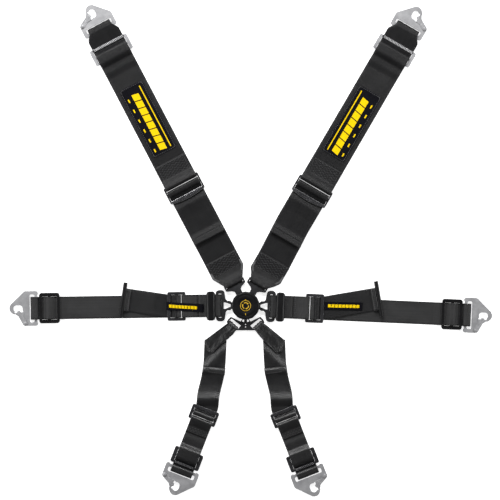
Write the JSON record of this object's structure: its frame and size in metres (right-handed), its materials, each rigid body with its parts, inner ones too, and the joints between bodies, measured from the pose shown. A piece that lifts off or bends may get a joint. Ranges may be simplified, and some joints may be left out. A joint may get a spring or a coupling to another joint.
{
  "type": "racing harness",
  "caption": "Multi-point competition harness laid out flat: shoulder, lap and crotch belts with adjusters and snap hooks meet in a round cam-lock buckle with a turn knob.",
  "frame": {"origin": "middle of the buckle's back face, on the plane that the harness lies on", "axes": "+Z out of the turn knob, +Y towards the shoulder hooks, +X to the right of somebody who looks down at the knob"},
  "size_m": [1.0624, 1.0817, 0.029],
  "materials": {
    "webbing": "woven polyester, satin",
    "black_steel": "black phosphated",
    "hook_steel": "zinc plated, worn",
    "inner_steel": "machined",
    "black_plastic": "satin black"
  },
  "bodies": {
    "buckle": {"buckle_base_plate": "black_steel", "buckle_casing": "black_steel", "casing_screw_1": "inner_steel", "casing_screw_2": "inner_steel", "centre_spindle": "inner_steel", "knob_return_spring": "inner_steel", "left_lap_tongue": "black_steel"},
    "knob": {"turn_knob": "black_plastic", "release_cam": "inner_steel"},
    "pin_ring": {"locking_pin_ring": "inner_steel"},
    "left_shoulder_tongue": {"left_shoulder_tongue": "black_steel"},
    "right_shoulder_tongue": {"right_shoulder_tongue": "black_steel"},
    "right_lap_tongue": {"right_lap_tongue": "black_steel"},
    "crotch_tongue": {"crotch_strap_tongue": "black_steel"},
    "left_shoulder_lower": {"left_shoulder_lower_webbing": "webbing", "left_shoulder_adjuster": "black_steel"},
    "left_shoulder_upper": {"left_shoulder_upper_webbing": "webbing", "left_shoulder_slide": "hook_steel"},
    "left_shoulder_hook": {"left_shoulder_hook_plate": "hook_steel", "left_shoulder_gate_rivet": "hook_steel"},
    "left_shoulder_gate": {"left_shoulder_hook_gate": "hook_steel"},
    "right_shoulder_lower": {"right_shoulder_lower_webbing": "webbing", "right_shoulder_adjuster": "black_steel"},
    "right_shoulder_upper": {"right_shoulder_upper_webbing": "webbing", "right_shoulder_slide": "hook_steel"},
    "right_shoulder_hook": {"right_shoulder_hook_plate": "hook_steel", "right_shoulder_gate_rivet": "hook_steel"},
    "right_shoulder_gate": {"right_shoulder_hook_gate": "hook_steel"},
    "left_lap_inner": {"left_lap_inner_webbing": "webbing", "left_lap_stop_bar": "black_plastic"},
    "left_lap_outer": {"left_lap_outer_webbing": "webbing", "left_lap_adjuster": "black_steel", "left_lap_grip_bar": "black_plastic", "left_lap_slide": "black_plastic"},
    "left_lap_hook": {"left_lap_hook_plate": "hook_steel", "left_lap_gate_rivet": "hook_steel"},
    "left_lap_gate": {"left_lap_hook_gate": "hook_steel"},
    "right_lap_inner": {"right_lap_inner_webbing": "webbing", "right_lap_stop_bar": "black_plastic"},
    "right_lap_outer": {"right_lap_outer_webbing": "webbing", "right_lap_adjuster": "black_steel", "right_lap_grip_bar": "black_plastic", "right_lap_slide": "black_plastic"},
    "right_lap_hook": {"right_lap_hook_plate": "hook_steel", "right_lap_gate_rivet": "hook_steel"},
    "right_lap_gate": {"right_lap_hook_gate": "hook_steel"},
    "left_crotch_upper": {"left_crotch_upper_webbing": "webbing", "left_crotch_adjuster": "black_steel"},
    "left_crotch_lower": {"left_crotch_lower_webbing": "webbing", "left_crotch_slide": "black_steel"},
    "left_crotch_hook": {"left_crotch_hook_plate": "hook_steel", "left_crotch_gate_rivet": "hook_steel"},
    "left_crotch_gate": {"left_crotch_hook_gate": "hook_steel"},
    "right_crotch_upper": {"right_crotch_upper_webbing": "webbing", "right_crotch_adjuster": "black_steel"},
    "right_crotch_lower": {"right_crotch_lower_webbing": "webbing", "right_crotch_slide": "black_steel"},
    "right_crotch_hook": {"right_crotch_hook_plate": "hook_steel", "right_crotch_gate_rivet": "hook_steel"},
    "right_crotch_gate": {"right_crotch_hook_gate": "hook_steel"}
  },
  "joints": [
    {"name": "knob_turn", "type": "hinge", "parent": "buckle", "child": "knob", "pos_m": [0, 0, 0.02], "axis": [0, 0, -1], "range_deg": [0, 30], "stiffness_Nm_per_rad": 0.05, "springref_deg": -11.46},
    {"name": "pin_ring_lift", "type": "slide", "parent": "buckle", "child": "pin_ring", "axis": [0, 0, 1], "range_m": [0, 0.00301]},
    {"name": "left_shoulder_tongue_pull", "type": "slide", "parent": "buckle", "child": "left_shoulder_tongue", "axis": [-0.4648, 0.8854, 0], "range_m": [0, 0.03]},
    {"name": "right_shoulder_tongue_pull", "type": "slide", "parent": "buckle", "child": "right_shoulder_tongue", "axis": [0.5045, 0.8634, 0], "range_m": [0, 0.03]},
    {"name": "right_lap_tongue_pull", "type": "slide", "parent": "buckle", "child": "right_lap_tongue", "axis": [0.999, -0.0436, 0], "range_m": [0, 0.03]},
    {"name": "crotch_tongue_pull", "type": "slide", "parent": "buckle", "child": "crotch_tongue", "axis": [0, -1, 0], "range_m": [0, 0.03]},
    {"name": "left_shoulder_lower_swing", "type": "hinge", "parent": "left_shoulder_tongue", "child": "left_shoulder_lower", "pos_m": [-0.02603, 0.04958, 0.007], "axis": [0.8854, 0.4648, 0], "range_deg": [-45, 45]},
    {"name": "left_shoulder_upper_swing", "type": "hinge", "parent": "left_shoulder_lower", "child": "left_shoulder_upper", "pos_m": [-0.14261, 0.27164, 0.006], "axis": [0.8854, 0.4648, 0], "range_deg": [-45, 45]},
    {"name": "left_shoulder_hook_swing", "type": "hinge", "parent": "left_shoulder_upper", "child": "left_shoulder_hook", "pos_m": [-0.31888, 0.60738, 0.006], "axis": [0.8854, 0.4648, 0], "range_deg": [-60, 60]},
    {"name": "left_shoulder_gate_open", "type": "hinge", "parent": "left_shoulder_hook", "child": "left_shoulder_gate", "pos_m": [-0.35902, 0.61285, 0.006], "axis": [0, 0, -1], "range_deg": [0, 16], "stiffness_Nm_per_rad": 0.02, "springref_deg": -11.46},
    {"name": "right_shoulder_lower_swing", "type": "hinge", "parent": "right_shoulder_tongue", "child": "right_shoulder_lower", "pos_m": [0.02825, 0.04835, 0.007], "axis": [0.8634, -0.5045, 0], "range_deg": [-45, 45]},
    {"name": "right_shoulder_upper_swing", "type": "hinge", "parent": "right_shoulder_lower", "child": "right_shoulder_upper", "pos_m": [0.15479, 0.26489, 0.006], "axis": [0.8634, -0.5045, 0], "range_deg": [-45, 45]},
    {"name": "right_shoulder_hook_swing", "type": "hinge", "parent": "right_shoulder_upper", "child": "right_shoulder_hook", "pos_m": [0.35317, 0.60438, 0.006], "axis": [0.8634, -0.5045, 0], "range_deg": [-60, 60]},
    {"name": "right_shoulder_gate_open", "type": "hinge", "parent": "right_shoulder_hook", "child": "right_shoulder_gate", "pos_m": [0.39352, 0.60802, 0.006], "axis": [0, 0, 1], "range_deg": [0, 16], "stiffness_Nm_per_rad": 0.02, "springref_deg": -11.46},
    {"name": "left_lap_inner_swing", "type": "hinge", "parent": "buckle", "child": "left_lap_inner", "pos_m": [-0.06249, -0.00087, 0.007], "axis": [-0.014, 0.9999, 0], "range_deg": [-45, 45]},
    {"name": "left_lap_outer_swing", "type": "hinge", "parent": "left_lap_inner", "child": "left_lap_outer", "pos_m": [-0.13519, -0.00189, 0.006], "axis": [-0.014, 0.9999, 0], "range_deg": [-45, 45]},
    {"name": "left_lap_hook_swing", "type": "hinge", "parent": "left_lap_outer", "child": "left_lap_hook", "pos_m": [-0.46146, -0.00644, 0.006], "axis": [-0.014, 0.9999, 0], "range_deg": [-60, 60]},
    {"name": "left_lap_gate_open", "type": "hinge", "parent": "left_lap_hook", "child": "left_lap_gate", "pos_m": [-0.48449, -0.03977, 0.006], "axis": [0, 0, -1], "range_deg": [0, 16], "stiffness_Nm_per_rad": 0.02, "springref_deg": -11.46},
    {"name": "right_lap_inner_swing", "type": "hinge", "parent": "right_lap_tongue", "child": "right_lap_inner", "pos_m": [0.06244, -0.00273, 0.007], "axis": [-0.0436, -0.999, 0], "range_deg": [-45, 45]},
    {"name": "right_lap_outer_swing", "type": "hinge", "parent": "right_lap_inner", "child": "right_lap_outer", "pos_m": [0.13507, -0.0059, 0.006], "axis": [-0.0436, -0.999, 0], "range_deg": [-45, 45]},
    {"name": "right_lap_hook_swing", "type": "hinge", "parent": "right_lap_outer", "child": "right_lap_hook", "pos_m": [0.48404, -0.02113, 0.006], "axis": [-0.0436, -0.999, 0], "range_deg": [-60, 60]},
    {"name": "right_lap_gate_open", "type": "hinge", "parent": "right_lap_hook", "child": "right_lap_gate", "pos_m": [0.50608, -0.05513, 0.006], "axis": [0, 0, 1], "range_deg": [0, 16], "stiffness_Nm_per_rad": 0.02, "springref_deg": -11.46},
    {"name": "left_crotch_upper_swing", "type": "hinge", "parent": "crotch_tongue", "child": "left_crotch_upper", "pos_m": [-0.0285, -0.045, 0.007], "axis": [-0.7431, 0.6691, 0], "range_deg": [-30, 30]},
    {"name": "left_crotch_lower_swing", "type": "hinge", "parent": "left_crotch_upper", "child": "left_crotch_lower", "pos_m": [-0.09685, -0.25438, 0.006], "axis": [-0.9311, 0.3649, 0], "range_deg": [-45, 45]},
    {"name": "left_crotch_hook_swing", "type": "hinge", "parent": "left_crotch_lower", "child": "left_crotch_hook", "pos_m": [-0.139, -0.36192, 0.006], "axis": [-0.9311, 0.3649, 0], "range_deg": [-60, 60]},
    {"name": "left_crotch_gate_open", "type": "hinge", "parent": "left_crotch_hook", "child": "left_crotch_gate", "pos_m": [-0.1783, -0.37176, 0.006], "axis": [0, 0, 1], "range_deg": [0, 16], "stiffness_Nm_per_rad": 0.02, "springref_deg": -11.46},
    {"name": "right_crotch_upper_swing", "type": "hinge", "parent": "crotch_tongue", "child": "right_crotch_upper", "pos_m": [0.0285, -0.045, 0.007], "axis": [-0.7431, -0.6691, 0], "range_deg": [-30, 30]},
    {"name": "right_crotch_lower_swing", "type": "hinge", "parent": "right_crotch_upper", "child": "right_crotch_lower", "pos_m": [0.09285, -0.25738, 0.006], "axis": [-0.9311, -0.3649, 0], "range_deg": [-45, 45]},
    {"name": "right_crotch_hook_swing", "type": "hinge", "parent": "right_crotch_lower", "child": "right_crotch_hook", "pos_m": [0.135, -0.36492, 0.006], "axis": [-0.9311, -0.3649, 0], "range_deg": [-60, 60]},
    {"name": "right_crotch_gate_open", "type": "hinge", "parent": "right_crotch_hook", "child": "right_crotch_gate", "pos_m": [0.1743, -0.37476, 0.006], "axis": [0, 0, -1], "range_deg": [0, 16], "stiffness_Nm_per_rad": 0.02, "springref_deg": -11.46}
  ],
  "couplings": [
    {"joint": "pin_ring_lift", "follows": "knob_turn", "m_per_rad": 0.00573}
  ]
}
